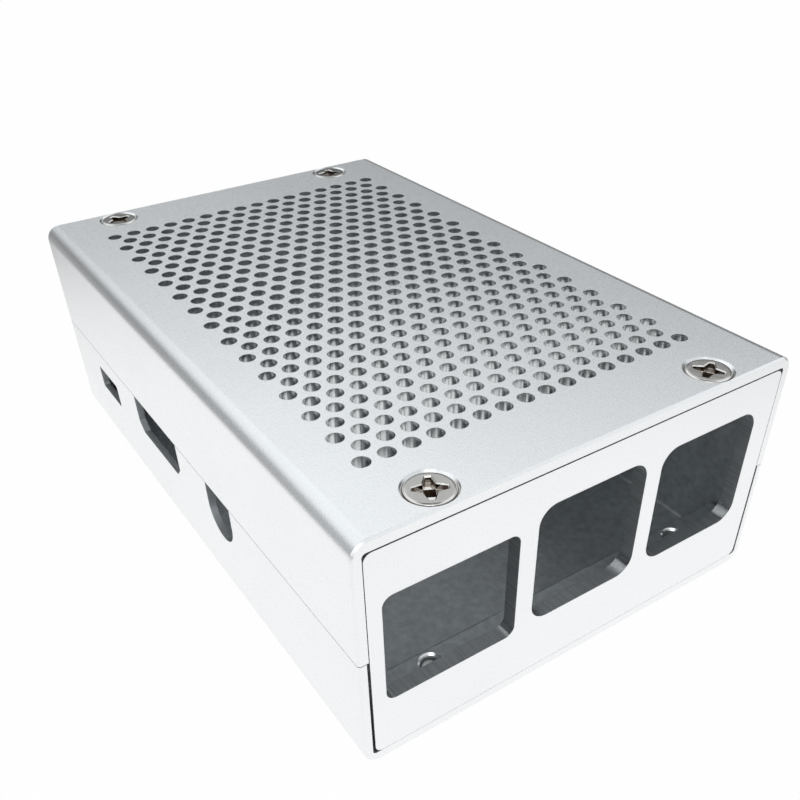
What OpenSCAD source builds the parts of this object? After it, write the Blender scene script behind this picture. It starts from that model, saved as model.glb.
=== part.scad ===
// Perforated aluminium case for a single-board computer.
// Two U-shaped covers meet at a seam along the sides and are screwed to two end panels.
// The case is drawn round the board that it holds: its outer size follows from the board,
// the room left round it and the walls. The board itself is not part of the case.
// Origin at the centre of the underside, lengths in millimetres. +X points to the end with
// the large port windows, -Y to the side with the small ports, +Z up.

/* [Board] */
// Length of the board
board_l = 85; // [75:0.5:110]
// Width of the board
board_w = 56; // [55:0.5:75]
// Thickness of the board
board_t = 1.4; // [1:0.1:2]
// Spacing of the board's fixing holes along its length
fix_x = 58; // [45:0.5:65]
// Spacing of the board's fixing holes across its width
fix_y = 49; // [36:0.5:50]
// Distance of the first fixing holes from the board's card edge and side edge
fix_inset = 3.5; // [3:0.1:6]

/* [Room round the board] */
// Play between the board's card edge and the end rails
card_play = 0.8; // [0.05:0.05:1]
// Reach of the sockets past the board, to the outer face of the port end
socket_reach = 2.7; // [2:0.1:6]
// Gap between the board and the wall with the small ports
near_gap = 0.1; // [0.05:0.05:2]
// Gap between the board and the opposite wall
far_gap = 1.9; // [0.5:0.05:6]
// Height of the standoffs under the board
standoff_h = 6.8; // [5:0.05:10]
// Room above the board
headroom = 20.75; // [19.5:0.05:40]

/* [Covers] */
// Thickness of the cover's top and of the base's floor
plate_t = 1.4; // [1.2:0.05:2.5]
// Thickness of the cover's side walls
cover_wall = 1.2; // [0.8:0.05:2]
// Thickness of the base's side walls
base_wall = 0.95; // [0.6:0.05:2]
// Height of the seam above the board
seam_rise = 6.4; // [5:0.05:9]
// Gap at the seam between cover and base
seam_gap = 0.1; // [0.05:0.01:0.4]
// Radius of the long outer edges
edge_r = 2; // [1:0.1:3]
// Radius in the inner corners of the covers
inner_r = 0.5; // [0.2:0.05:0.8]
// Chamfer round the cut ends of the covers
end_chamfer = 0.25; // [0.1:0.05:0.6]

/* [Vent holes] */
// Diameter of a vent hole
hole_d = 2; // [1:0.1:2.6]
// Distance from each vent hole to the next, in all three directions
hole_pitch = 3; // [2.8:0.1:5]
// Least distance from the sides to the outer rows of vent holes
vent_side = 7.3; // [5:0.1:15]
// Least plain land between the screws and the first vent holes
vent_land = 4; // [1.5:0.1:10]

/* [End panels] */
// Thickness of the panel plates
panel_t = 1.9; // [1.5:0.1:3]
// Radius of the panel corners
panel_r = 1; // [0.8:0.1:2]
// Depth of the screw rails behind the plates
rail_d = 3.4; // [3:0.1:6]
// Rounding of the inner edges of the rails
rail_r = 0.4; // [0.1:0.05:0.5]
// Space between the lower rails and the board
rail_gap = 1.15; // [0.3:0.05:2]
// Space between the stacked port windows and the upper rails
lintel = 0.45; // [0.2:0.05:1.5]
// Gap between the panels and the cover's walls
panel_fit = 0.1; // [0.05:0.01:0.3]
// Gap between the panels and the floor
floor_fit = 0.05; // [0.02:0.01:0.2]
// Gap between the panels and the cover's top
top_fit = 0.2; // [0.02:0.01:0.3]

/* [Port windows] */
// Centre of the network window, from the board's side edge
network_y = 10.25; // [9.5:0.05:11]
// Width of the network window
network_w = 17.05; // [14:0.05:18]
// Height of the network window
network_h = 14.95; // [12:0.05:16]
// Sill of the network window below the board's top face
network_drop = 0.7; // [0.2:0.05:1]
// Corner radius of the network window
network_r = 1.3; // [0.5:0.1:3]
// Centre of the first stacked port window, from the board's side edge
stack_near_y = 29; // [28.5:0.05:29.5]
// Centre of the second stacked port window, from the board's side edge
stack_far_y = 47; // [46.5:0.05:47.5]
// Width of a stacked port window
stack_w = 15.65; // [13:0.05:16]
// Height of a stacked port window
stack_h = 16.4; // [14:0.05:17]
// Sill of the stacked port windows below the board's top face
stack_drop = 0.3; // [0.2:0.05:1]
// Corner radius of the stacked port windows
stack_r = 2.4; // [0.5:0.1:4]

/* [Side ports] */
// Centre of the power port, from the board's card edge
power_x = 10.6; // [9:0.1:13]
// Width of the power port
power_w = 8.3; // [6:0.1:10]
// Height of the power port
power_h = 3.65; // [3:0.05:5]
// Sill of the power port below the board's top face
power_drop = 0.25; // [0:0.05:1]
// Corner radius of the power port
power_r = 0.5; // [0.2:0.1:1]
// Centre of the video port, from the board's card edge
video_x = 32; // [30:0.1:36]
// Width of the video port
video_w = 15.75; // [13.5:0.05:18]
// Width of the video port at its sill
video_sill_w = 13; // [10:0.1:13.4]
// Height of the slanted corners of the video port
video_slant_h = 1.4; // [0.5:0.1:2.5]
// Sill of the video port above the board's top face
video_rise = 0.8; // [0:0.05:1]
// Centre of the audio port, from the board's card edge
audio_x = 53.5; // [50:0.1:56]
// Width of the audio port
audio_w = 7.2; // [6:0.1:9]
// Lowest point of the audio port below the board's top face
audio_drop = 0.3; // [0:0.05:1]

/* [Card slot] */
// Width of the memory card slot
slot_w = 16; // [13:0.5:24]
// Height of the memory card slot
slot_h = 4.6; // [4.5:0.1:6]
// Corner radius of the memory card slot
slot_r = 1.5; // [0.3:0.1:2.2]
// Top of the card slot below the board's top face
slot_drop = 0.4; // [0:0.05:1]

/* [Screws] */
// Distance of the screws from the case sides
screw_side = 10.85; // [6:0.1:16]
// Distance of the screws behind the back of the panel plates
screw_setback = 1.3; // [1.3:0.05:1.7]
// Diameter of the countersinks
sink_d = 6; // [5.6:0.1:7]
// Diameter of the screw heads
head_d = 5.3; // [4.6:0.1:5.4]
// Height of the edge of the screw heads
head_edge = 0.3; // [0.1:0.05:0.3]
// Gap between the screw heads and their countersinks
seat_fit = 0.03; // [0.02:0.01:0.06]
// Diameter of the clearance holes in the covers
clear_d = 3.2; // [2.8:0.1:3.6]
// Diameter of the tapped holes in the rails
tap_d = 2.5; // [2:0.1:2.6]
// Chamfer at the inner mouths of the tapped holes
tap_chamfer = 0.3; // [0.1:0.05:0.4]
// Gap between the screw shanks and the tapped holes
thread_fit = 0.05; // [0.03:0.01:0.1]
// Length of the cover screws
cover_screw_l = 5; // [4:0.5:5.5]
// Length of the base screws
base_screw_l = 6.7; // [4:0.1:7]
// Span of the cross recess
recess_d = 3.2; // [2:0.1:3.6]
// Width of a wing of the cross recess
recess_w = 0.75; // [0.4:0.05:1]
// Depth of the cross recess
recess_depth = 1.1; // [0.5:0.1:1.4]

/* [Standoffs] */
// Diameter of the standoffs
standoff_d = 4.2; // [3.6:0.1:4.6]
// Diameter of the tapped bore in the standoffs
standoff_bore = 2.1; // [1.6:0.1:2.4]
// Width across the flats of the hexagonal foot pressed into the floor
foot_flats = 5; // [4.9:0.1:5.2]
// Height of the hexagonal foot
foot_h = 0.7; // [0.4:0.05:0.9]
// Gap between the standoffs and the floor
press_fit = 0.02; // [0.01:0.01:0.05]
// Chamfer round the top of the standoffs
standoff_chamfer = 0.3; // [0.1:0.05:0.5]

/* [Hidden] */
$fn = 64;
cut = 0.5;  // overrun of cutting shapes past the faces they cut

// Overall size, round a board that is wide enough for its fixing holes
board_span = max(board_w, fix_y + 2 * fix_inset);
end_depth = panel_t + rail_d;
case_l = end_depth + card_play + board_l + socket_reach;
case_w = board_span + near_gap + far_gap + 2 * cover_wall;
board_top = plate_t + standoff_h + board_t;
case_h = board_top + headroom + plate_t;
base_h = board_top + seam_rise;

// Corner of the board at its card edge and its side edge
board_x = -case_l / 2 + end_depth + card_play;
board_y = -case_w / 2 + cover_wall + near_gap;

// End panels
panel_w = case_w - 2 * cover_wall - 2 * panel_fit;
panel_z = plate_t + floor_fit;
panel_h = case_h - 2 * plate_t - floor_fit - top_fit;
lower_rail_top = plate_t + standoff_h - rail_gap;
upper_rail_z = board_top - stack_drop + stack_h + lintel;

// Screws, at their axes and at the depth where the head's edge meets its cone
screw_x = case_l / 2 - panel_t - screw_setback;
screw_y = case_w / 2 - screw_side;
shank_d = tap_d - 2 * thread_fit;
head_seat = (sink_d - head_d) / 2 - seat_fit;
cone_h = (head_d - shank_d) / 2;

// Vent holes, in a triangular grid of full rows with shifted rows between them
row_pitch = hole_pitch * sqrt(3);
vent_end = case_l / 2 - screw_x + sink_d / 2 + vent_land;
vent_rows = floor((case_l - 2 * vent_end) / row_pitch) + 1;
vent_cols = floor((case_w - 2 * vent_side) / hole_pitch) + 1;

// Finishes
anodised = "#c6cbd0";
nickel = "#b9b6ae";
zinc = "#a8abad";

// Rectangle with round corners, centred
module rounded_rect(w, h, r) {
    square([w - 2 * r, h], center = true);
    square([w, h - 2 * r], center = true);
    for (sx = [-1, 1], sy = [-1, 1])
        translate([sx * (w / 2 - r), sy * (h / 2 - r)]) circle(r);
}

// Stands a flat outline up across the case: its x runs along Y, its y along Z, from x = 0
module across_case(depth) {
    rotate([90, 0, 90]) linear_extrude(depth) children();
}

// Chamfered end of the outer body, from its full outline at x = 0 to the smaller end face
module body_end() {
    flat_w = case_w - 2 * edge_r;
    flat_h = case_h - 2 * edge_r;
    for (sy = [-1, 1], sz = [-1, 1])
        translate([0, sy * flat_w / 2, sz * flat_h / 2])
            rotate([0, 90, 0]) cylinder(h = end_chamfer, r1 = edge_r, r2 = edge_r - end_chamfer);
    rotate([90, 0, 0]) linear_extrude(flat_w, center = true) end_taper(case_h / 2);
    linear_extrude(flat_h, center = true) end_taper(case_w / 2);
}

// Outline of a chamfered end, with its full half height at x = 0
module end_taper(half) {
    polygon([[0, -half], [end_chamfer, end_chamfer - half], [end_chamfer, half - end_chamfer], [0, half]]);
}

// Outer body that both covers are cut from
module outer_body() {
    straight = case_l - 2 * end_chamfer;
    translate([0, 0, case_h / 2]) {
        translate([-straight / 2, 0, 0]) across_case(straight) rounded_rect(case_w, case_h, edge_r);
        for (turn = [0, 180]) rotate([0, 0, turn]) translate([straight / 2, 0, 0]) body_end();
    }
}

// Slice of the outer body between two heights, hollowed to the given wall and height range
module channel(z0, z1, wall, hollow_z0, hollow_z1) {
    difference() {
        intersection() {
            outer_body();
            translate([-case_l / 2 - cut, -case_w / 2 - cut, z0])
                cube([case_l + 2 * cut, case_w + 2 * cut, z1 - z0]);
        }
        translate([-case_l / 2 - cut, 0, (hollow_z0 + hollow_z1) / 2])
            across_case(case_l + 2 * cut)
                rounded_rect(case_w - 2 * wall, hollow_z1 - hollow_z0, inner_r);
    }
}

// Copies a shape to the four screw places
module at_screws() {
    for (sx = [-1, 1], sy = [-1, 1]) translate([sx * screw_x, sy * screw_y, 0]) children();
}

// Turns what is drawn for a screw in the underside over, for a screw in the top
module from_top() {
    translate([0, 0, case_h]) mirror([0, 0, 1]) children();
}

// Countersunk hole, drawn upwards from the underside, that ends in a bore of the given diameter
module screw_hole(bore_d, depth) {
    translate([0, 0, -cut]) cylinder(h = (sink_d - bore_d) / 2 + cut, d1 = sink_d + 2 * cut, d2 = bore_d);
    cylinder(h = depth, d = bore_d);
}

// Vent holes as flat circles
module vent_pattern() {
    for (row = [0 : vent_rows - 1], col = [0 : vent_cols - 1])
        translate([(row - (vent_rows - 1) / 2) * row_pitch, (col - (vent_cols - 1) / 2) * hole_pitch])
            circle(d = hole_d);
    for (row = [0 : vent_rows - 2], col = [0 : vent_cols - 2])
        translate([(row - (vent_rows - 2) / 2) * row_pitch, (col - (vent_cols - 2) / 2) * hole_pitch])
            circle(d = hole_d);
}

// Cover with the perforated top and the upper halves of the side walls
module top_cover() {
    color(anodised) difference() {
        channel(base_h + seam_gap, case_h, cover_wall, 0, case_h - plate_t);
        translate([0, 0, case_h - plate_t - cut]) linear_extrude(plate_t + 2 * cut) vent_pattern();
        at_screws() from_top() screw_hole(clear_d, plate_t + cut);
    }
}

// Power port: a rectangle with round corners
module power_outline() {
    translate([board_x + power_x, board_top - power_drop + power_h / 2])
        rounded_rect(power_w, power_h, power_r);
}

// Video port: open to the seam, with slanted lower corners
module video_outline() {
    sill = board_top + video_rise;
    translate([board_x + video_x, 0])
        polygon([[-video_w / 2, base_h + cut], [-video_w / 2, sill + video_slant_h],
                 [-video_sill_w / 2, sill], [video_sill_w / 2, sill],
                 [video_w / 2, sill + video_slant_h], [video_w / 2, base_h + cut]]);
}

// Audio port: open to the seam, with a round bottom
module audio_outline() {
    round_z = board_top - audio_drop + audio_w / 2;
    translate([board_x + audio_x, round_z]) {
        circle(d = audio_w);
        translate([-audio_w / 2, 0]) square([audio_w, base_h + cut - round_z]);
    }
}

// Base with the floor, the lower halves of the side walls and the small ports
module bottom_cover() {
    color(anodised) difference() {
        channel(0, base_h, base_wall, plate_t, case_h);
        translate([0, -case_w / 2 + base_wall + cut, 0]) rotate([90, 0, 0])
            linear_extrude(base_wall + 2 * cut) {
                power_outline();
                video_outline();
                audio_outline();
            }
        at_screws() screw_hole(clear_d, plate_t + cut);
        at_standoffs() {
            translate([0, 0, -cut]) cylinder(h = plate_t + 2 * cut, d = standoff_d + 2 * press_fit);
            translate([0, 0, -cut]) hexagon(foot_h + press_fit + cut, foot_flats + 2 * press_fit);
        }
    }
}

// Plate with a screw rail along its top and bottom, at the port end
module end_panel() {
    difference() {
        union() {
            translate([case_l / 2 - panel_t, 0, 0]) across_case(panel_t) panel_outline();
            difference() {
                rails();
                at_screws() hole_mouth(lower_rail_top);
                at_screws() from_top() hole_mouth(case_h - upper_rail_z);
            }
        }
        at_screws() screw_hole(tap_d, lower_rail_top + cut);
        at_screws() from_top() screw_hole(tap_d, case_h - upper_rail_z + cut);
    }
}

// Rails along the lower and upper edges of an end panel, rounded where they face the board
module rails() {
    panel_top = panel_z + panel_h;
    intersection() {
        translate([case_l / 2 - end_depth, 0, 0]) across_case(rail_d) {
            rail_outline(panel_z, lower_rail_top);
            rail_outline(upper_rail_z, panel_top);
        }
        rotate([90, 0, 0]) linear_extrude(case_w, center = true) {
            rail_side(panel_z, lower_rail_top - panel_z);
            rail_side(panel_top, panel_top - upper_rail_z);
        }
    }
}

// Rail seen from the side, doubled across the panel's face and across its edge at z
module rail_side(z, h) {
    translate([case_l / 2 - panel_t, z]) rounded_rect(2 * rail_d, 2 * h, rail_r);
}

// Chamfer at the inner mouth of a tapped hole, drawn upwards from the underside
module hole_mouth(z) {
    translate([0, 0, z - tap_chamfer])
        cylinder(h = tap_chamfer + cut, d1 = tap_d, d2 = tap_d + 2 * (tap_chamfer + cut));
}

// Outline of an end panel
module panel_outline() {
    translate([0, panel_z + panel_h / 2]) rounded_rect(panel_w, panel_h, panel_r);
}

// Part of the panel outline between two heights
module rail_outline(z0, z1) {
    intersection() {
        panel_outline();
        translate([-panel_w / 2, z0]) square([panel_w, z1 - z0]);
    }
}

// Window outline, from its centre across the board and its sill below the board's top face
module window_outline(y, drop, w, h, r) {
    translate([board_y + y, board_top - drop + h / 2]) rounded_rect(w, h, r);
}

// End panel with the network window and the two stacked port windows
module port_end_panel() {
    color(anodised) difference() {
        end_panel();
        translate([case_l / 2 - panel_t - cut, 0, 0]) across_case(panel_t + 2 * cut) {
            window_outline(network_y, network_drop, network_w, network_h, network_r);
            for (y = [stack_near_y, stack_far_y])
                window_outline(y, stack_drop, stack_w, stack_h, stack_r);
        }
    }
}

// Plain end panel with the slot for a memory card, which cuts the lower rail too
module card_end_panel() {
    color(anodised) difference() {
        rotate([0, 0, 180]) end_panel();
        translate([-case_l / 2 - cut, board_y + board_span / 2, board_top - slot_drop - slot_h / 2])
            across_case(end_depth + 2 * cut) rounded_rect(slot_w, slot_h, slot_r);
    }
}

// Countersunk screw with a cross recess, drawn upwards from the underside
module screw(length) {
    top = head_seat - head_edge;
    difference() {
        union() {
            translate([0, 0, top]) cylinder(h = head_edge, d = head_d);
            translate([0, 0, head_seat]) cylinder(h = cone_h, d1 = head_d, d2 = shank_d);
            translate([0, 0, head_seat]) cylinder(h = length + top - head_seat, d = shank_d);
        }
        intersection() {
            translate([0, 0, top - cut])
                cylinder(h = recess_depth + cut, d1 = recess_d + 2 * cut, d2 = recess_w);
            for (turn = [0, 90]) rotate([0, 0, turn])
                cube([recess_d + 2 * cut, recess_w, 2 * (top + recess_depth)], center = true);
        }
    }
}

// Four screws that hold the cover
module cover_screws() {
    color(nickel) at_screws() from_top() screw(cover_screw_l);
}

// Four screws that hold the base
module base_screws() {
    color(nickel) at_screws() screw(base_screw_l);
}

// Copies a shape to the board's four fixing holes
module at_standoffs() {
    for (x = [0, fix_x], y = [0, fix_y])
        translate([board_x + fix_inset + x, board_y + fix_inset + y, 0]) children();
}

// Hexagonal prism by its width across the flats
module hexagon(h, flats) {
    cylinder(h = h, d = flats / cos(30), $fn = 6);
}

// Standoff with a hexagonal foot, flush in the underside, and a tapped bore
module standoff() {
    top = plate_t + standoff_h;
    difference() {
        union() {
            translate([0, 0, press_fit]) hexagon(foot_h, foot_flats);
            translate([0, 0, press_fit]) cylinder(h = top - standoff_chamfer - press_fit, d = standoff_d);
            translate([0, 0, top - standoff_chamfer])
                cylinder(h = standoff_chamfer, d1 = standoff_d, d2 = standoff_d - 2 * standoff_chamfer);
        }
        translate([0, 0, -cut]) cylinder(h = top + 2 * cut, d = standoff_bore);
    }
}

// Four standoffs that carry the board
module board_standoffs() {
    color(zinc) at_standoffs() standoff();
}

top_cover();
bottom_cover();
port_end_panel();
card_end_panel();
cover_screws();
base_screws();
board_standoffs();
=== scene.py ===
"""Perforated aluminium case for a single-board computer: its finishes, its screws and a studio."""
import math

import bmesh
import bpy
from bpy.props import FloatProperty, FloatVectorProperty, PointerProperty
from mathutils import Matrix, Quaternion, Vector


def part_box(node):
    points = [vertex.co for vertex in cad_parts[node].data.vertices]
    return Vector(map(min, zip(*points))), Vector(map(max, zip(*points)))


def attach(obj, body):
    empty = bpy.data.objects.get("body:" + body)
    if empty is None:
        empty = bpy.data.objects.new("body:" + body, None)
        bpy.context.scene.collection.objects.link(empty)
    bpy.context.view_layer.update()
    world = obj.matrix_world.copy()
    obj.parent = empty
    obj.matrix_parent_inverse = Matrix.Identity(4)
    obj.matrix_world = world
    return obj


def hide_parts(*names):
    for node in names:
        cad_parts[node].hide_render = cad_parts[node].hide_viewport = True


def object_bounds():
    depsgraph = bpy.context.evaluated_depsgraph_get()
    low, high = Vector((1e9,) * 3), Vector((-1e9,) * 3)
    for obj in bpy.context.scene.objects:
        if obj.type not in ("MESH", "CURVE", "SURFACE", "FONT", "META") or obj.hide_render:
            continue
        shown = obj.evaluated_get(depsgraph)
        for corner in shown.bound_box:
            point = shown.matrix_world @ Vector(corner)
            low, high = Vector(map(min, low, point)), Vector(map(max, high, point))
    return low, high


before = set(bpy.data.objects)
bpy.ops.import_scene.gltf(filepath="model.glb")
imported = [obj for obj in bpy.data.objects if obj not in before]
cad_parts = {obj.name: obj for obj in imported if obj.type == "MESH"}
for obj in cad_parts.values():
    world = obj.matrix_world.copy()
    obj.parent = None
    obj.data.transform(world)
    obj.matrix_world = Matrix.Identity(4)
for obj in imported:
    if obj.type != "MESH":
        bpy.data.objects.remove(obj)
CAD_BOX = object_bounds()

bl_info = {
    "name": "Board Case",
    "version": (1, 0, 0),
    "blender": (4, 5, 0),
    "location": "View3D > Sidebar > Board Case",
    "description": "Finishes a perforated aluminium board case and sets it in a studio",
    "category": "Object",
}

MM = 0.001
BODY = "root"
SKIN = 0.01 * MM  # how far inside a sheet a point has to be to lie on a cut face
RIM = 0.3 * MM  # outer edge of a cut sheet, which was blasted with its faces
MERGE = SKIN / 10  # distance within which two vertices of a screw are one


def linear(hex_colour):
    """Turns an sRGB hex colour into linear red, green and blue."""
    channels = [int(hex_colour[i:i + 2], 16) / 255 for i in (1, 3, 5)]
    return tuple(c / 12.92 if c <= 0.04045 else ((c + 0.055) / 1.055) ** 2.4 for c in channels)


def opaque(colour, share=1.0):
    """Turns linear red, green and blue into a node's colour, lighter or darker by a share."""
    return (*(channel * share for channel in colour), 1)


# Settings that a user would change

class CaseSheets(bpy.types.PropertyGroup):
    """Sizes that tell the cut and inner faces of the aluminium pieces from their outer faces."""
    plate_t: FloatProperty(
        name="Top and floor", description="Thickness of the perforated top and of the floor",
        unit="LENGTH", default=1.4 * MM)
    cover_wall: FloatProperty(
        name="Cover wall", description="Thickness of the side walls of the cover",
        unit="LENGTH", default=1.2 * MM)
    base_wall: FloatProperty(
        name="Base wall", description="Thickness of the side walls of the base",
        unit="LENGTH", default=0.95 * MM)
    panel_t: FloatProperty(
        name="End panels", description="Thickness of the end panels",
        unit="LENGTH", default=1.9 * MM)
    edge_r: FloatProperty(
        name="Long edges", description="Radius of the long outer edges",
        unit="LENGTH", default=2 * MM)
    rail_top: FloatProperty(
        name="Rail top", description="Height of the top of the lower screw rails",
        unit="LENGTH", default=7.05 * MM)
    tap_mouth: FloatProperty(
        name="Tapped hole mouth", description="Diameter of the chamfered mouth of a tapped hole",
        unit="LENGTH", default=3.1 * MM)
    tap_chamfer: FloatProperty(
        name="Tapped hole chamfer", description="Height of the chamfer at the mouth of a tapped hole",
        unit="LENGTH", default=0.3 * MM)


class CaseFinishes(bpy.types.PropertyGroup):
    """Colours and grain of the metals."""
    anodised: FloatVectorProperty(
        name="Anodised", description="Colour of the bead-blasted aluminium",
        subtype="COLOR", size=3, min=0, max=1, default=linear("#F9FAFB"))
    anodised_shade: FloatVectorProperty(
        name="Anodised shade", description="Darker colour in the cloudiness of the anodising",
        subtype="COLOR", size=3, min=0, max=1, default=linear("#F3F5F6"))
    # Painted shade: the inner faces are the same anodised aluminium, drawn darker for the shade inside the
    # case
    inside: FloatVectorProperty(
        name="Inside", description="Colour of the duller aluminium inside the case",
        subtype="COLOR", size=3, min=0, max=1, default=linear("#C8CCCE"))
    drilled: FloatVectorProperty(
        name="Drilled", description="Colour of the walls of the vent holes and countersinks",
        subtype="COLOR", size=3, min=0, max=1, default=linear("#E2E5E6"))
    milled: FloatVectorProperty(
        name="Milled", description="Colour of the milled edges of the windows and ports",
        subtype="COLOR", size=3, min=0, max=1, default=linear("#B0B3B5"))
    nickel: FloatVectorProperty(
        name="Nickel", description="Colour of the nickel plate on the screws",
        subtype="COLOR", size=3, min=0, max=1, default=linear("#B9B7B3"))
    # Painted highlight on the rims, the lips and wing floors of the recesses, and the threads of the screws
    glint_colour: FloatVectorProperty(
        name="Burnished", description="Colour of the rubbed rims and lips of the screws",
        subtype="COLOR", size=3, min=0, max=1, default=linear("#F0EEEA"))
    # Painted shade in the recesses of the screws and on the edges of their heads
    recess: FloatVectorProperty(
        name="Recess", description="Colour of the thin plating in the recesses of the screws",
        subtype="COLOR", size=3, min=0, max=1, default=linear("#8A8078"))
    # Zinc grey, drawn darker as painted shade so that the standoffs sink into the shade inside the case
    zinc: FloatVectorProperty(
        name="Zinc", description="Colour of the zinc plate on the standoffs",
        subtype="COLOR", size=3, min=0, max=1, default=linear("#8E959B"))
    drilled_roughness: FloatProperty(
        name="Drilled roughness", description="Roughness of the walls of the vent holes",
        subtype="FACTOR", min=0, max=1, default=0.26)
    milled_roughness: FloatProperty(
        name="Milled roughness", description="Roughness of the milled edges of the windows and ports",
        subtype="FACTOR", min=0, max=1, default=0.48)
    blast_grain: FloatProperty(
        name="Blast grain", description="Width of a dimple left by the bead blasting",
        unit="LENGTH", default=0.14 * MM)
    mark_pitch: FloatProperty(
        name="Milling marks", description="Distance between the marks of the cutter in the windows",
        unit="LENGTH", default=0.16 * MM)


class CaseScrews(bpy.types.PropertyGroup):
    """Sizes of the countersunk screws."""
    head_d: FloatProperty(
        name="Head", description="Diameter of the head", unit="LENGTH", default=5.3 * MM)
    head_edge: FloatProperty(
        name="Head edge", description="Height of the straight edge of the head",
        unit="LENGTH", default=0.3 * MM)
    rim_w: FloatProperty(
        name="Rim", description="Width of the rounded rim of the head", unit="LENGTH", default=0.4 * MM)
    rim_h: FloatProperty(
        name="Rim drop", description="Height of the rounded rim of the head",
        unit="LENGTH", default=0.22 * MM)
    shank_d: FloatProperty(
        name="Thread", description="Outer diameter of the thread", unit="LENGTH", default=2.4 * MM)
    thread_pitch: FloatProperty(
        name="Pitch", description="Pitch of the thread", unit="LENGTH", default=0.5 * MM)
    thread_depth: FloatProperty(
        name="Thread depth", description="Depth of the thread", unit="LENGTH", default=0.26 * MM)
    recess_span: FloatProperty(
        name="Recess span", description="Length of the cross recess from wing to wing",
        unit="LENGTH", default=3.6 * MM)
    recess_w: FloatProperty(
        name="Recess core", description="Width of the core of the cross recess",
        unit="LENGTH", default=1.2 * MM)
    recess_tip: FloatProperty(
        name="Recess tip", description="Width of the mouth of the recess at the tip of a wing",
        unit="LENGTH", default=0.9 * MM)
    recess_depth: FloatProperty(
        name="Recess depth", description="Depth of the wings of the cross recess",
        unit="LENGTH", default=0.6 * MM)
    core_depth: FloatProperty(
        name="Core depth", description="Depth of the core of the cross recess below its wings",
        unit="LENGTH", default=0.8 * MM)
    recess_lip: FloatProperty(
        name="Recess lip", description="Chamfer round the mouth of the cross recess",
        unit="LENGTH", default=0.13 * MM)
    turns: FloatVectorProperty(
        name="Turns", description="How far each screw was turned home",
        size=4, unit="ROTATION", default=[math.radians(a) for a in (20, 75, 62, 30)])


class CaseStudio(bpy.types.PropertyGroup):
    """Camera and light."""
    camera_place: FloatVectorProperty(
        name="Camera", description="Where the camera stands",
        size=3, subtype="TRANSLATION", unit="LENGTH", default=(0.098334, -0.056917, 0.081721))
    camera_aim: FloatVectorProperty(
        name="Aim", description="Point that the camera is turned to",
        size=3, subtype="TRANSLATION", unit="LENGTH", default=(0.02864, -0.011101, 0.015))
    camera_roll: FloatProperty(
        name="Roll", description="Turn of the camera about its line of sight",
        unit="ROTATION", default=math.radians(-1.128))
    lens: FloatProperty(
        name="Lens", description="Focal length, on a sensor 36 mm wide", unit="CAMERA", default=39.323)
    shift_x: FloatProperty(
        name="Shift X", description="Sideways shift of the picture", default=-0.0197)
    shift_y: FloatProperty(
        name="Shift Y", description="Upward shift of the picture", default=0.1409)
    lamp_place: FloatVectorProperty(
        name="Lamp", description="Where the soft box stands",
        size=3, subtype="TRANSLATION", unit="LENGTH", default=(0.5, -0.33, 0.6))
    lamp_w: FloatProperty(
        name="Lamp width", description="Width of the square soft box", unit="LENGTH", default=0.4)
    lamp_power: FloatProperty(
        name="Lamp power", description="Power of the soft box", unit="POWER", default=0.5)


class CaseSettings(bpy.types.PropertyGroup):
    """All settings of the case."""
    sheets: PointerProperty(type=CaseSheets)
    finishes: PointerProperty(type=CaseFinishes)
    screws: PointerProperty(type=CaseScrews)
    studio: PointerProperty(type=CaseStudio)


# Materials

def add_node(tree, kind, inputs=None, stops=(), **settings):
    """Adds a node with its settings, values or links for its inputs, and stops if it is a ramp."""
    node = tree.nodes.new(kind)
    for name, value in settings.items():
        setattr(node, name, value)
    if stops:
        ramp = node.color_ramp.elements
        ramp[0].position, ramp[0].color = stops[0]
        ramp[1].position, ramp[1].color = stops[-1]
        for at, colour in stops[1:-1]:
            ramp.new(at).color = colour
    for name, value in (inputs or {}).items():
        if isinstance(value, bpy.types.NodeSocket):
            tree.links.new(value, node.inputs[name])
        else:
            node.inputs[name].default_value = value
    return node


def new_material(name):
    """Makes an empty node material and returns it with its tree and its object coordinates."""
    material = bpy.data.materials.new(name)
    material.use_nodes = True
    material.node_tree.nodes.clear()
    place = add_node(material.node_tree, "ShaderNodeTexCoord").outputs["Object"]
    return material, material.node_tree, place


def close_metal(tree, colour, roughness, normal):
    """Ends a tree in a metal surface."""
    shader = add_node(tree, "ShaderNodeBsdfPrincipled", {
        "Base Color": colour, "Metallic": 1.0, "Roughness": roughness, "Normal": normal})
    add_node(tree, "ShaderNodeOutputMaterial", {"Surface": shader.outputs["BSDF"]})


def inside_box(tree, place, low, high):
    """Gives 1 inside a box and 0 outside it."""
    axes = add_node(tree, "ShaderNodeSeparateXYZ", {"Vector": place})
    mask = 1.0
    for axis, a, b in zip("XYZ", low, high):
        within = add_node(tree, "ShaderNodeMath", {
            0: axes.outputs[axis], 1: (a + b) / 2, 2: (b - a) / 2}, operation="COMPARE")
        mask = add_node(tree, "ShaderNodeMath", {
            0: mask, 1: within.outputs[0]}, operation="MULTIPLY").outputs[0]
    return mask


def inside_any(tree, place, boxes):
    """Gives 1 inside any of some boxes and 0 outside them all."""
    mask = 0.0
    for low, high in boxes:
        mask = add_node(tree, "ShaderNodeMath", {
            0: mask, 1: inside_box(tree, place, low, high)}, operation="MAXIMUM").outputs[0]
    return mask


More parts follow.
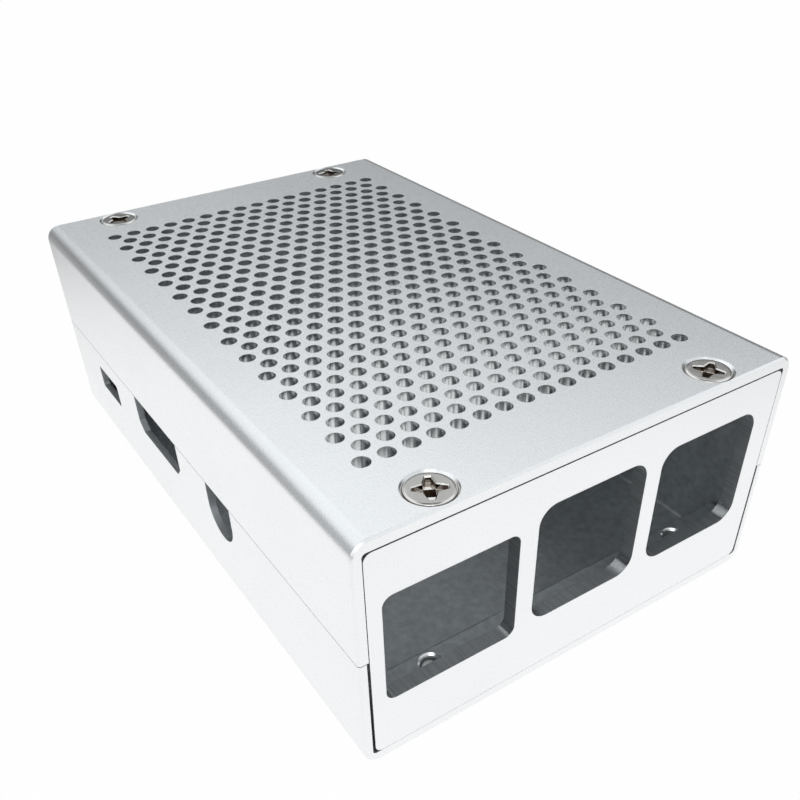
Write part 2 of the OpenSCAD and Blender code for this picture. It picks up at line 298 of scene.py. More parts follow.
def uncut_tone(tree, place, finishes, inner):
    """Colour of faces that were not cut: a little cloudy outside, and painted darker as shade inside the
    case, with painted dappled light.
    """
    cloud = add_node(tree, "ShaderNodeTexNoise", {
        "Vector": place, "Scale": 1 / (14 * MM), "Detail": 2.0})
    outside = add_node(tree, "ShaderNodeMix", {
        "Factor": cloud.outputs["Fac"], "A": opaque(finishes.anodised_shade),
        "B": opaque(finishes.anodised)}, data_type="RGBA")
    # Painted dappled light from the vent holes on the inner faces, around their painted shade
    painted_dapple = add_node(tree, "ShaderNodeTexNoise", {
        "Vector": place, "Scale": 1 / (0.9 * MM), "Detail": 3.0})
    inside = add_node(tree, "ShaderNodeMix", {
        "Factor": painted_dapple.outputs["Fac"], "A": opaque(finishes.inside, 0.7),
        "B": opaque(finishes.inside, 1.3)}, data_type="RGBA")
    tone = add_node(tree, "ShaderNodeMix", {
        "Factor": inner, "A": outside.outputs["Result"], "B": inside.outputs["Result"]},
        data_type="RGBA")
    return tone.outputs["Result"]


def cutter_marks(tree, place, finishes):
    """Pattern of the marks that a cutter leaves along its axis, which is X."""
    across = 1 / finishes.mark_pitch
    stretched = add_node(tree, "ShaderNodeMapping", {
        "Vector": place, "Scale": (1 / (6 * MM), across, across)})
    marks = add_node(tree, "ShaderNodeTexNoise", {
        "Vector": stretched.outputs["Vector"], "Scale": 1.0, "Detail": 2.0})
    return marks.outputs["Fac"]


def cutter_polish_and_glint(tree, place, polished_glint_boxes):
    """Gives 1 where cut metal is smoother and painted pale as a highlight: in the corners of the windows,
    and in the boxes. It gives 0 where the metal was only cut."""
    facing = add_node(tree, "ShaderNodeSeparateXYZ", {
        "Vector": add_node(tree, "ShaderNodeNewGeometry").outputs["Normal"]})
    slant = add_node(tree, "ShaderNodeMath", {
        0: facing.outputs["Y"], 1: facing.outputs["Z"]}, operation="MULTIPLY")
    slant = add_node(tree, "ShaderNodeMath", {0: slant.outputs[0]}, operation="ABSOLUTE")
    # Painted highlight on the slant of the window corners
    corner = add_node(tree, "ShaderNodeMapRange", {
        "Value": slant.outputs[0], "From Min": 0.1, "From Max": 0.48}, interpolation_type="SMOOTHSTEP")
    polish_and_glint = add_node(tree, "ShaderNodeMath", {
        0: corner.outputs["Result"], 1: inside_any(tree, place, polished_glint_boxes)}, operation="MAXIMUM")
    return polish_and_glint.outputs[0]


def anodised_aluminium(name, finishes, cut_colour, cut_roughness, cut_boxes, inner_box,
                       polished_glint_boxes=(), streak=0.0):
    """Bead-blasted, clear anodised aluminium, bare where it was cut, with painted highlights where cuts are
    polished and painted shade inside the case.
    """
    # Blasting leaves fine dimples that blur reflections to soft gradients with a faint sparkle,
    # and the clear layer makes the metal pale and a little cool. The dimples are drawn wider than
    # real ones, so that they show. Drilled and milled faces were cut clean: they mirror the
    # opening across from them and carry the lines of the cutter.
    material, tree, place = new_material(name)
    cut = inside_any(tree, place, (*cut_boxes, *polished_glint_boxes))
    inner = inside_box(tree, place, *inner_box)
    marks = cutter_marks(tree, place, finishes)
    polish_and_glint = cutter_polish_and_glint(tree, place, polished_glint_boxes)
    grain = add_node(tree, "ShaderNodeTexNoise", {
        "Vector": place, "Scale": 1 / finishes.blast_grain, "Detail": 2.0}).outputs["Fac"]

    # Cut faces are streaked by the marks and painted pale as a highlight where they are polished. Dimples
    # speckle all faces
    streaks = add_node(tree, "ShaderNodeMapRange", {
        "Value": marks, "From Min": 0.35, "From Max": 0.65,
        "To Min": 1 - streak, "To Max": 1 + 2 * streak})
    streaked = add_node(tree, "ShaderNodeMix", {
        "Factor": 1.0, "A": opaque(cut_colour), "B": streaks.outputs["Result"]},
        data_type="RGBA", blend_type="MULTIPLY")
    # Polished places are painted the pale anodised colour as a highlight
    cut_tone = add_node(tree, "ShaderNodeMix", {
        "Factor": polish_and_glint, "A": streaked.outputs["Result"], "B": opaque(finishes.anodised)},
        data_type="RGBA")
    tone = add_node(tree, "ShaderNodeMix", {
        "Factor": cut, "A": uncut_tone(tree, place, finishes, inner), "B": cut_tone.outputs["Result"]},
        data_type="RGBA")
    speck = add_node(tree, "ShaderNodeMapRange", {
        "Value": grain, "From Min": 0.3, "From Max": 0.7, "To Min": 0.94, "To Max": 1.04})
    colour = add_node(tree, "ShaderNodeMix", {
        "Factor": 1.0, "A": tone.outputs["Result"], "B": speck.outputs["Result"]},
        data_type="RGBA", blend_type="MULTIPLY")

    # Dimples differ a little in roughness, inner faces are rougher and burnished ones smoothest
    blasted = add_node(tree, "ShaderNodeMapRange", {
        "Value": grain, "From Min": 0.3, "From Max": 0.7, "To Min": 0.26, "To Max": 0.34})
    uncut = add_node(tree, "ShaderNodeMix", {
        "Factor": inner, "A": blasted.outputs["Result"], "B": 0.5}, data_type="FLOAT")
    milled = add_node(tree, "ShaderNodeMapRange", {
        "Value": polish_and_glint, "To Min": cut_roughness, "To Max": 0.2})
    roughness = add_node(tree, "ShaderNodeMix", {
        "Factor": cut, "A": uncut.outputs["Result"], "B": milled.outputs["Result"]}, data_type="FLOAT")

    # Edges are broken, cut faces have the marks, and outer faces have most of the dimples
    edge = add_node(tree, "ShaderNodeBevel", {"Radius": 0.08 * MM}, samples=4)
    marks_on = add_node(tree, "ShaderNodeMath", {0: marks, 1: cut}, operation="MULTIPLY")
    cutter = add_node(tree, "ShaderNodeBump", {
        "Height": marks_on.outputs[0], "Distance": 0.1 * MM * streak, "Strength": 1.0,
        "Normal": edge.outputs["Normal"]})
    smooth = add_node(tree, "ShaderNodeMath", {0: inner, 1: cut}, operation="MAXIMUM")
    depth = add_node(tree, "ShaderNodeMapRange", {"Value": smooth.outputs[0], "To Min": 1.0, "To Max": 0.1})
    dimples = add_node(tree, "ShaderNodeBump", {
        "Height": grain, "Distance": 0.019 * MM, "Strength": depth.outputs["Result"],
        "Normal": cutter.outputs["Normal"]})
    close_metal(tree, colour.outputs["Result"], roughness.outputs["Result"], dimples.outputs["Normal"])
    return material


def nickel_plate(name, screws, finishes, head_z):
    """Bright nickel plate on steel screws whose heads lie at the given height."""
    # Plating over a cold-headed screw: warm and mirror-like, with faint dents and hairlines. The rim, the
    # lip of the recess, the floor of its wings and the thread are painted pale as highlights, and the walls
    # and core of the recess and the edge of the head are painted dark brown as shade.
    material, tree, place = new_material(name)
    dents = add_node(tree, "ShaderNodeTexNoise", {"Vector": place, "Scale": 1 / (0.8 * MM), "Detail": 3.0})
    hairs = add_node(tree, "ShaderNodeTexNoise", {
        "Vector": place, "Scale": 1 / (0.12 * MM), "Detail": 2.0, "Distortion": 1.5})
    worn = add_node(tree, "ShaderNodeMapRange", {
        "Value": dents.outputs["Fac"], "To Min": 0.86, "To Max": 1.0})

    # Painted highlights and shade by the depth below the head's face
    height = add_node(tree, "ShaderNodeSeparateXYZ", {"Vector": place}).outputs["Z"]
    below = add_node(tree, "ShaderNodeMath", {0: height, 1: head_z}, operation="SUBTRACT")
    depth = add_node(tree, "ShaderNodeMath", {0: below.outputs[0]}, operation="ABSOLUTE")
    deepest = 2.5 * MM
    floor = screws.recess_lip + screws.recess_depth
    flat, glint_colour, recess = (opaque(c) for c in (finishes.nickel, finishes.glint_colour, finishes.recess))
    # The pale stops are painted highlights and the recess colour is painted shade
    depths = (
        (0.015 * MM, flat),
        (0.05 * MM, glint_colour),  # the rim and the lip
        (0.1375 * MM, glint_colour),
        (0.2125 * MM, recess),  # the walls of the wings
        (floor - 0.0425 * MM, recess),
        (floor - 0.0125 * MM, glint_colour),  # the floor of the wings
        (floor + 0.0125 * MM, glint_colour),
        (floor + 0.05 * MM, recess),  # the core
        (1.875 * MM, recess),
        (2.25 * MM, glint_colour),  # the thread
    )
    share = add_node(tree, "ShaderNodeMath", {0: depth.outputs[0], 1: deepest}, operation="DIVIDE")
    glint_and_shade = add_node(tree, "ShaderNodeValToRGB", {"Fac": share.outputs[0]},
                    stops=[(at / deepest, shade) for at, shade in depths])
    colour = add_node(tree, "ShaderNodeMix", {
        "Factor": 1.0, "A": glint_and_shade.outputs["Color"], "B": worn.outputs["Result"]},
        data_type="RGBA", blend_type="MULTIPLY")
    roughness = add_node(tree, "ShaderNodeMapRange", {
        "Value": hairs.outputs["Fac"], "From Min": 0.3, "From Max": 0.7, "To Min": 0.1, "To Max": 0.22})
    bump = add_node(tree, "ShaderNodeBump", {
        "Height": dents.outputs["Fac"], "Distance": 0.02 * MM, "Strength": 1.0})
    close_metal(tree, colour.outputs["Result"], roughness.outputs["Result"], bump.outputs["Normal"])
    return material


def zinc_plate(finishes):
    """Satin zinc plate on turned steel standoffs."""
    # Turning rings under a thin cool plating, so highlights spread along the rings
    material, tree, place = new_material("satin_zinc_plate")
    rings = add_node(tree, "ShaderNodeMapping", {
        "Vector": place, "Scale": (1 / (8 * MM), 1 / (8 * MM), 1 / (0.1 * MM))})
    turned = add_node(tree, "ShaderNodeTexNoise", {
        "Vector": rings.outputs["Vector"], "Scale": 1.0, "Detail": 2.0})
    # The zinc colour is kept dark as painted shade
    colour = add_node(tree, "ShaderNodeMix", {
        "Factor": turned.outputs["Fac"], "A": opaque(finishes.zinc, 0.88),
        "B": opaque(finishes.zinc)}, data_type="RGBA")
    roughness = add_node(tree, "ShaderNodeMapRange", {
        "Value": turned.outputs["Fac"], "From Min": 0.3, "From Max": 0.7, "To Min": 0.34, "To Max": 0.46})
    bump = add_node(tree, "ShaderNodeBump", {
        "Height": turned.outputs["Fac"], "Distance": 0.01 * MM, "Strength": 0.6})
    close_metal(tree, colour.outputs["Result"], roughness.outputs["Result"], bump.outputs["Normal"])
    return material


def dress(node_name, material):
    """Gives a CAD node its finish."""
    for material_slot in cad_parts[node_name].material_slots:
        material_slot.material = material


# Screws

def deselect():
    """Leaves edit mode and deselects everything."""
    if bpy.context.object and bpy.context.object.mode != "OBJECT":
        bpy.ops.object.mode_set(mode="OBJECT")
    bpy.ops.object.select_all(action="DESELECT")


def edit(piece, kind="VERT"):
    """Opens a piece in edit mode with everything in it selected."""
    deselect()
    piece.select_set(True)
    bpy.context.view_layer.objects.active = piece
    bpy.ops.object.mode_set(mode="EDIT")
    bpy.ops.mesh.select_mode(type=kind)
    bpy.ops.mesh.select_all(action="SELECT")


def pick(piece, kind, wanted):
    """Selects the edges or faces whose middle passes a test."""
    bpy.ops.mesh.select_mode(type=kind)
    bpy.ops.mesh.select_all(action="DESELECT")
    mesh = bmesh.from_edit_mesh(piece.data)
    for part in mesh.edges if kind == "EDGE" else mesh.faces:
        corners = [vertex.co for vertex in part.verts]
        if wanted(sum(corners, Vector()) / len(corners)):
            part.select_set(True)
    mesh.select_flush_mode()
    bmesh.update_edit_mesh(piece.data)


def draw_out(move, scale=1.0):
    """Extrudes what is selected, then scales it about the axis."""
    bpy.ops.mesh.extrude_region_move(TRANSFORM_OT_translate={"value": move})
    if scale != 1.0:
        bpy.ops.transform.resize(value=(scale, scale, 1), center_override=(0, 0, 0))


def draw_profile(reach, profile):
    """Extrudes the selected disc, of the given radius, to each radius and height of a profile."""
    height = 0.0
    for new_reach, new_height in profile:
        draw_out((0, 0, new_height - height), new_reach / reach)
        reach, height = new_reach, new_height


def close_shell():
    """Turns all faces of the piece in edit mode outwards, and leaves edit mode."""
    bpy.ops.mesh.select_all(action="SELECT")
    bpy.ops.mesh.normals_make_consistent(inside=False)
    deselect()


def boolean(piece, other, operation):
    """Joins another piece to a piece, or cuts it out, and removes the other piece."""
    deselect()
    bpy.context.view_layer.objects.active = piece
    piece.select_set(True)
    modifier = piece.modifiers.new("Cut", "BOOLEAN")
    modifier.operation = operation
    modifier.solver = "EXACT"
    modifier.object = other
    bpy.ops.object.modifier_apply(modifier=modifier.name)
    deselect()
    other.select_set(True)
    bpy.ops.object.delete()


def model_head(screws):
    """Countersunk head with a rounded rim, its top at the origin, and a stub that joins the thread."""
    radius = screws.head_d / 2
    neck = screws.shank_d / 2 - screws.thread_depth
    neck_z = neck - radius - screws.head_edge
    flat = radius - screws.rim_w
    inner = flat - 0.05 * MM  # a narrow ring keeps the shading of the flat top even
    turns = [math.radians(a) for a in range(0, 91, 15)]
    profile = [(flat + screws.rim_w * math.sin(a), screws.rim_h * (math.cos(a) - 1)) for a in turns]
    stub = 0.9 * neck  # thinner than the neck, so that it ends inside the thread
    profile += [(radius, -screws.head_edge), (neck, neck_z), (stub, neck_z - screws.thread_pitch)]
    deselect()
    bpy.ops.mesh.primitive_circle_add(vertices=64, radius=inner, fill_type="NGON")
    head = bpy.context.object
    edit(head, "FACE")
    draw_profile(inner, profile)
    close_shell()
    return head


def model_thread(screws, length):
    """Threaded shank with a domed tip, from under the head down to the given length."""
    pitch = screws.thread_pitch
    crest = screws.shank_d / 2
    root = crest - screws.thread_depth
    top = root - screws.head_d / 2 - screws.head_edge - pitch / 2
    dome_h = screws.thread_depth
    dome_z = dome_h - length
    deselect()
    bpy.ops.mesh.primitive_plane_add(size=pitch, location=(root, 0, -length - pitch))
    thread = bpy.context.object
    bpy.ops.object.transform_apply(location=True)
    edit(thread)
    bpy.ops.mesh.merge(type="CENTER")
    for step in ((crest - root, 0, 0.4 * pitch), (0, 0, 0.15 * pitch),
                 (root - crest, 0, 0.4 * pitch), (0, 0, 0.05 * pitch)):
        draw_out(step)
    deselect()
    bpy.context.view_layer.objects.active = thread
    winding = thread.modifiers.new("Winding", "SCREW")
    winding.screw_offset = pitch
    winding.iterations = math.ceil((length + top) / pitch) + 3
    winding.steps = winding.render_steps = 32
    winding.use_merge_vertices = True
    winding.merge_threshold = MERGE
    bpy.ops.object.modifier_apply(modifier=winding.name)
    edit(thread)
    bpy.ops.mesh.remove_doubles(threshold=MERGE)
    for height, upwards in ((top, 1), (dome_z, -1)):
        bpy.ops.mesh.select_all(action="SELECT")
        bpy.ops.mesh.bisect(plane_co=(0, 0, height), plane_no=(0, 0, upwards), use_fill=True,
                            clear_outer=True, threshold=MERGE / 10)
    pick(thread, "FACE", lambda p: p.z < dome_z + SKIN)
    turns = [math.radians(a) for a in (25, 45, 65, 85)]
    draw_profile(crest, [(crest * math.cos(a), -dome_h * math.sin(a) / math.sin(turns[-1])) for a in turns])
    close_shell()
    return thread


def model_recess(screws):
    """Cutter for the cross recess: slim-tipped wings, a deep core and a chamfered mouth at the origin."""
    lip = screws.recess_lip
    depth = screws.recess_depth
    mouth_w = screws.recess_w + 4 * lip  # the chamfer takes twice the lip off each side
    wing = (screws.recess_span - screws.recess_w) / 2
    slimming = 1 - screws.recess_tip / mouth_w
    wing_draft, core_draft = 0.94, 0.7  # share of its width that each keeps at its floor
    ways = (Vector((1, 0, 0)), Vector((0, 1, 0)), Vector((-1, 0, 0)), Vector((0, -1, 0)))
    deselect()
    bpy.ops.mesh.primitive_plane_add(size=mouth_w, location=(0, 0, lip))
    cross = bpy.context.object
    bpy.ops.object.transform_apply(location=True)
    edit(cross, "EDGE")
    for way in ways:
        pick(cross, "EDGE", lambda p: (p.xy - way.xy * mouth_w / 2).length < SKIN)
        draw_out(way * wing)
        slim = (1 - slimming * abs(way.y), 1 - slimming * abs(way.x), 1)
        bpy.ops.transform.resize(value=slim, center_override=(0, 0, 0))
    bpy.ops.mesh.select_mode(type="FACE")
    bpy.ops.mesh.select_all(action="SELECT")
    bpy.ops.mesh.inset(thickness=2 * lip, depth=-2 * lip)
    draw_out((0, 0, -depth), wing_draft)
    pick(cross, "FACE", lambda p: p.z < -depth and p.xy.length < SKIN)
    draw_out((0, 0, -screws.core_depth), core_draft)
    pick(cross, "EDGE", lambda p: p.z > lip - SKIN)
    bpy.ops.mesh.edge_face_add()
    close_shell()
    return cross


def model_screw(screws, length):
    """One countersunk cross-recess screw, its top at the origin and its tip down."""
    screw = model_head(screws)
    boolean(screw, model_thread(screws, length), "UNION")
    boolean(screw, model_recess(screws), "DIFFERENCE")
    edit(screw)
    bpy.ops.mesh.remove_doubles(threshold=MERGE)
    bpy.ops.mesh.dissolve_degenerate(threshold=MERGE)
    deselect()
    return screw


def set_screws(name, node_name, screws, finishes):
    """Puts four detailed screws where a CAD node has its plain ones."""
    low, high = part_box(node_name)
    reach = screws.head_d / 2
    from_below = high.z < CAD_BOX[1].z / 2
    head_z = low.z if from_below else high.z
    pattern = model_screw(screws, high.z - low.z)
    copies = []
    corners = [(x, y) for x in (low.x + reach, high.x - reach) for y in (low.y + reach, high.y - reach)]
    for (x, y), turn in zip(corners, screws.turns):
        copy = pattern.copy()
        copy.data = pattern.data.copy()
        bpy.context.collection.objects.link(copy)
        flip = Matrix.Rotation(math.pi if from_below else 0, 4, "X")
        copy.data.transform(Matrix.Translation((x, y, head_z)) @ flip @ Matrix.Rotation(turn, 4, "Z"))
        copies.append(copy)
    deselect()
    pattern.select_set(True)
    bpy.ops.object.delete()
    for copy in copies:
        copy.select_set(True)
    bpy.context.view_layer.objects.active = copies[0]
    bpy.ops.object.join()
    group = bpy.context.object
    group.name = name
    group.data.name = name
    bpy.ops.object.shade_smooth_by_angle(angle=math.radians(32))
    group.data.materials.clear()
    group.data.materials.append(nickel_plate("bright_nickel_plate_" + node_name, screws, finishes, head_z))
    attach(group, BODY)
    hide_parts(node_name)


# Studio

def paper_floor():
    """White seamless paper under the case, in a pool of light that fades outwards."""
    pool_centre = (18 * MM, -4 * MM, 0)
    pool_r = 318 * MM
    # Shares of the pool's radius, each with the light there
    pool_light = ((0.24, 1.0), (0.34, 0.92), (0.42, 0.78), (0.5, 0.52), (0.67, 0.38), (1.0, 0.3))
    glow = 0.97  # share of the paper's look that shows no shadow
    deselect()
    bpy.ops.mesh.primitive_plane_add(size=8, location=(0, 0, -SKIN))
    floor = bpy.context.object
    floor.name = "paper_floor"
    material, tree, place = new_material("white_seamless_paper")
    fibre = add_node(tree, "ShaderNodeTexNoise", {"Vector": place, "Scale": 1 / (2 * MM), "Detail": 2.0})
    tone = add_node(tree, "ShaderNodeMix", {
        "Factor": fibre.outputs["Fac"], "A": opaque(linear("#F4F4F4")), "B": opaque(linear("#F8F8F8"))},
        data_type="RGBA")
    paper = add_node(tree, "ShaderNodeBsdfDiffuse", {"Color": tone.outputs["Result"]})

    # Metal shows the paper white where it is lit and greyer beyond, the camera white all over
    reach = add_node(tree, "ShaderNodeVectorMath", {0: place, 1: pool_centre}, operation="DISTANCE")
    share = add_node(tree, "ShaderNodeMath", {0: reach.outputs["Value"], 1: pool_r}, operation="DIVIDE")
    pool = add_node(tree, "ShaderNodeValToRGB", {"Fac": share.outputs[0]},
                    stops=[(at, opaque((light,) * 3)) for at, light in pool_light])
    path = add_node(tree, "ShaderNodeLightPath")
    strength = add_node(tree, "ShaderNodeMath", {
        0: pool.outputs["Color"], 1: path.outputs["Is Camera Ray"]}, operation="MAXIMUM")
    white = add_node(tree, "ShaderNodeEmission", {"Color": (1, 1, 1, 1), "Strength": strength.outputs[0]})
    seen = add_node(tree, "ShaderNodeMath", {
        0: path.outputs["Is Camera Ray"], 1: path.outputs["Is Glossy Ray"]}, operation="MAXIMUM")
    glowing = add_node(tree, "ShaderNodeMath", {0: seen.outputs[0], 1: glow}, operation="MULTIPLY")
    surface = add_node(tree, "ShaderNodeMixShader", {
        0: glowing.outputs[0], 1: paper.outputs["BSDF"], 2: white.outputs["Emission"]})
    add_node(tree, "ShaderNodeOutputMaterial", {"Surface": surface.outputs["Shader"]})
    floor.data.materials.append(material)


def studio_room():
    """White for the camera. For light and reflections, back walls that darken towards the horizon, a
    light left wall, a bright side in front and a dim ceiling."""
    # Heights above the horizon, each with the light there
    wall_light = ((0.0, 0.085), (0.17, 0.14), (0.28, 0.3), (0.36, 0.58), (0.44, 0.91), (0.52, 1.02),
                  (0.65, 1.05))
    world = bpy.data.worlds.new("studio_room")
    world.use_nodes = True
    tree = world.node_tree
    tree.nodes.clear()
    direction = add_node(tree, "ShaderNodeTexCoord").outputs["Generated"]
    axes = add_node(tree, "ShaderNodeSeparateXYZ", {"Vector": direction})

    # The back walls grow light with height, and later towards the right
    to_right = add_node(tree, "ShaderNodeMath", {0: axes.outputs["Y"], 1: 0.15}, operation="MAXIMUM")
    height = add_node(tree, "ShaderNodeMath", {
        0: to_right.outputs[0], 1: -0.15, 2: axes.outputs["Z"]}, operation="MULTIPLY_ADD")
    walls = add_node(tree, "ShaderNodeValToRGB", {"Fac": height.outputs[0]},
                     stops=[(at, opaque((light,) * 3)) for at, light in wall_light])

    # A patch of the back wall is lit a little more
    near_patch = add_node(tree, "ShaderNodeVectorMath", {
        0: direction, 1: Vector((-0.8, 0.27, 0.53)).normalized()}, operation="DOT_PRODUCT")
    patch = add_node(tree, "ShaderNodeMapRange", {
        "Value": near_patch.outputs["Value"], "From Min": 0.965, "From Max": 0.995,
        "To Min": 1.0, "To Max": 1.13}, interpolation_type="SMOOTHSTEP")
    back = add_node(tree, "ShaderNodeMath", {
        0: walls.outputs["Color"], 1: patch.outputs["Result"]}, operation="MULTIPLY")

    # The left wall is light down to the horizon, and the side in front is brightest there
    left = add_node(tree, "ShaderNodeMath", {
        0: axes.outputs["Y"], 1: -0.85, 2: -0.12}, operation="MULTIPLY_ADD")
    around = add_node(tree, "ShaderNodeMath", {0: back.outputs[0], 1: left.outputs[0]}, operation="MAXIMUM")
    in_front = add_node(tree, "ShaderNodeMapRange", {
        "Value": axes.outputs["X"], "From Min": -0.1, "From Max": 0.45}, interpolation_type="SMOOTHSTEP")
    front = add_node(tree, "ShaderNodeMapRange", {
        "Value": axes.outputs["Z"], "From Min": 0.1, "From Max": 0.5, "To Min": 1.3, "To Max": 0.9})
    sides = add_node(tree, "ShaderNodeMix", {
        "Factor": in_front.outputs["Result"], "A": around.outputs[0], "B": front.outputs["Result"]},
        data_type="FLOAT")

    # The ceiling is dim
    overhead = add_node(tree, "ShaderNodeMapRange", {
        "Value": axes.outputs["Z"], "From Min": 0.88, "From Max": 0.95, "To Min": 1.0, "To Max": 0.2},
        interpolation_type="SMOOTHSTEP")
    strength = add_node(tree, "ShaderNodeMath", {
        0: sides.outputs["Result"], 1: overhead.outputs["Result"]}, operation="MULTIPLY")
    room = add_node(tree, "ShaderNodeBackground", {
        "Color": opaque(linear("#FAFDFF")), "Strength": strength.outputs[0]})
    white = add_node(tree, "ShaderNodeBackground", {"Color": (1, 1, 1, 1), "Strength": 1.0})
    path = add_node(tree, "ShaderNodeLightPath")
    mixed = add_node(tree, "ShaderNodeMixShader", {
        0: path.outputs["Is Camera Ray"], 1: room.outputs["Background"], 2: white.outputs["Background"]})
    add_node(tree, "ShaderNodeOutputWorld", {"Surface": mixed.outputs["Shader"]})
    bpy.context.scene.world = world


def aimed(place, aim, roll=0.0):
    """Matrix of a camera or a lamp that looks from one point at another."""
    sight = Vector(aim) - Vector(place)
    turn = sight.to_track_quat("-Z", "Y") @ Quaternion((0, 0, 1), roll)
    return Matrix.Translation(place) @ turn.to_matrix().to_4x4()


def soft_box(studio):
    """Square soft box that faces the case."""
    lamp = bpy.data.lights.new("key_soft_box", "AREA")
    lamp.shape = "SQUARE"
    lamp.size = studio.lamp_w
    lamp.energy = studio.lamp_power
    holder = bpy.data.objects.new("key_soft_box", lamp)
    holder.matrix_world = aimed(studio.lamp_place, (CAD_BOX[0] + CAD_BOX[1]) / 2)
    bpy.context.collection.objects.link(holder)


def photo_camera(studio):
    """Camera at the photo's angle, as the scene's camera."""
    camera = bpy.data.cameras.new("photo_camera")
    camera.sensor_width = 36
    camera.lens = studio.lens
    camera.shift_x = studio.shift_x
    camera.shift_y = studio.shift_y
    camera.clip_start = 0.001
    holder = bpy.data.objects.new("photo_camera", camera)
    holder.matrix_world = aimed(studio.camera_place, studio.camera_aim, studio.camera_roll)
    bpy.context.collection.objects.link(holder)
    bpy.context.scene.camera = holder


# Operators

class CASE_OT_covers(bpy.types.Operator):
    """Finish the perforated top cover and the bottom cover."""
    bl_idname = "board_case.covers"
    bl_label = "Finish Covers"

    def execute(self, context):
        settings = context.scene.board_case
        sheets = settings.sheets
        finishes = settings.finishes
        low, high = CAD_BOX

        # Cut faces lie within the thickness of a sheet, and inner faces within all sheets
        inset = Vector((RIM, sheets.edge_r, 0))
        inside_cover = Vector((sheets.panel_t, sheets.cover_wall - SKIN, sheets.plate_t - SKIN))
        inside_base = Vector((sheets.panel_t, sheets.base_wall - SKIN, sheets.plate_t - SKIN))
        top = (Vector((low.x, low.y, high.z - sheets.plate_t + SKIN)) + inset,
               Vector((high.x, high.y, high.z - SKIN)) - inset)
        floor = (Vector((low.x, low.y, low.z + SKIN)) + inset,
                 Vector((high.x, high.y, low.z + sheets.plate_t - SKIN)) - inset)
        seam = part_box("bottom_cover")[1].z
        ports = (Vector((low.x + inset.x, low.y + SKIN, sheets.edge_r)),
                 Vector((high.x - inset.x, low.y + sheets.base_wall - SKIN, seam - SKIN)))
        dress("top_cover", anodised_aluminium(
            "anodised_aluminium_perforated", finishes, finishes.drilled, finishes.drilled_roughness,
            [top], (low + inside_cover, high - inside_cover)))
        dress("bottom_cover", anodised_aluminium(
            "anodised_aluminium_folded", finishes, finishes.milled, finishes.milled_roughness,
            [floor, ports], (low + inside_base, high - inside_base)))
        return {"FINISHED"}


class CASE_OT_end_panels(bpy.types.Operator):
    """Finish the end panel with the port windows and the end panel with the card slot."""
    bl_idname = "board_case.end_panels"
    bl_label = "Finish End Panels"

    def execute(self, context):
        settings = context.scene.board_case
        sheets = settings.sheets
        finishes = settings.finishes

        # The windows are cut through the panels, and the tapped holes into their rails
        depth = Vector((sheets.panel_t - SKIN, 0, 0))
        room = (CAD_BOX[0] + depth, CAD_BOX[1] - depth)
        inset = Vector((SKIN, RIM, RIM))
        screw_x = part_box("base_screws")[1].x - settings.screws.head_d / 2
        mouth_r = sheets.tap_mouth / 2 + SKIN
        for node_name, side in (("port_end_panel", 1), ("card_end_panel", -1)):
            low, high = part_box(node_name)
            # The mouths of the tapped holes are smoother and painted pale as a highlight
            mouths = (Vector((side * screw_x - mouth_r, low.y, sheets.rail_top - sheets.tap_chamfer)),
                      Vector((side * screw_x + mouth_r, high.y, sheets.rail_top - SKIN)))
            if side > 0:
                low.x = high.x - sheets.panel_t
            else:
                high.x = low.x + sheets.panel_t
            dress(node_name, anodised_aluminium(
                "anodised_aluminium_" + node_name, finishes, finishes.milled, finishes.milled_roughness,
                [(low + inset, high - inset)], room, [mouths], streak=0.1))
        return {"FINISHED"}


class CASE_OT_cover_screws(bpy.types.Operator):
    """Model the four screws in the top."""
    bl_idname = "board_case.cover_screws"
    bl_label = "Model Cover Screws"

    def execute(self, context):
        settings = context.scene.board_case
        set_screws("cover_screws_threaded", "cover_screws", settings.screws, settings.finishes)
        return {"FINISHED"}


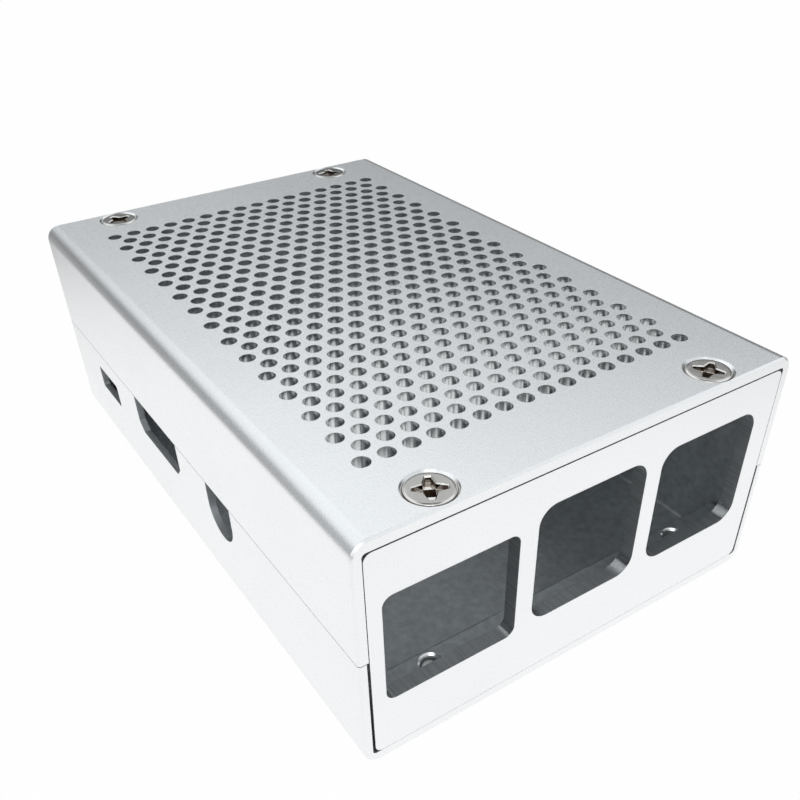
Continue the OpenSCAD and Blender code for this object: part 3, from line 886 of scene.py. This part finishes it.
class CASE_OT_base_screws(bpy.types.Operator):
    """Model the four screws in the underside."""
    bl_idname = "board_case.base_screws"
    bl_label = "Model Base Screws"

    def execute(self, context):
        settings = context.scene.board_case
        set_screws("base_screws_threaded", "base_screws", settings.screws, settings.finishes)
        return {"FINISHED"}


class CASE_OT_standoffs(bpy.types.Operator):
    """Finish the standoffs that carry the board."""
    bl_idname = "board_case.standoffs"
    bl_label = "Finish Standoffs"

    def execute(self, context):
        dress("board_standoffs", zinc_plate(context.scene.board_case.finishes))
        return {"FINISHED"}


class CASE_OT_stage(bpy.types.Operator):
    """Set up the floor, the light and the camera."""
    bl_idname = "board_case.stage"
    bl_label = "Set Up Studio"

    def execute(self, context):
        studio = context.scene.board_case.studio
        context.scene.view_settings.view_transform = "Standard"
        paper_floor()
        studio_room()
        soft_box(studio)
        photo_camera(studio)
        return {"FINISHED"}


class CASE_PT_panel(bpy.types.Panel):
    """Sidebar panel with the steps and their settings."""
    bl_idname = "CASE_PT_panel"
    bl_label = "Board Case"
    bl_space_type = "VIEW_3D"
    bl_region_type = "UI"
    bl_category = "Board Case"

    def draw(self, context):
        settings = context.scene.board_case
        for step in STEPS:
            self.layout.operator(step.bl_idname)
        for group in (settings.sheets, settings.finishes, settings.screws, settings.studio):
            box = self.layout.box()
            for name in group.bl_rna.properties.keys():
                if name not in ("rna_type", "name"):
                    box.prop(group, name)


GROUPS = (CaseSheets, CaseFinishes, CaseScrews, CaseStudio, CaseSettings)
STEPS = (CASE_OT_covers, CASE_OT_end_panels, CASE_OT_cover_screws, CASE_OT_base_screws,
         CASE_OT_standoffs, CASE_OT_stage)


def register():
    for case_class in (*GROUPS, *STEPS, CASE_PT_panel):
        bpy.utils.register_class(case_class)
    bpy.types.Scene.board_case = PointerProperty(type=CaseSettings)


def unregister():
    del bpy.types.Scene.board_case
    for case_class in reversed((*GROUPS, *STEPS, CASE_PT_panel)):
        bpy.utils.unregister_class(case_class)


def main():
    register()
    bpy.ops.board_case.covers()
    bpy.ops.board_case.end_panels()
    bpy.ops.board_case.cover_screws()
    bpy.ops.board_case.base_screws()
    bpy.ops.board_case.standoffs()
    bpy.ops.board_case.stage()


if __name__ == "__main__":
    main()
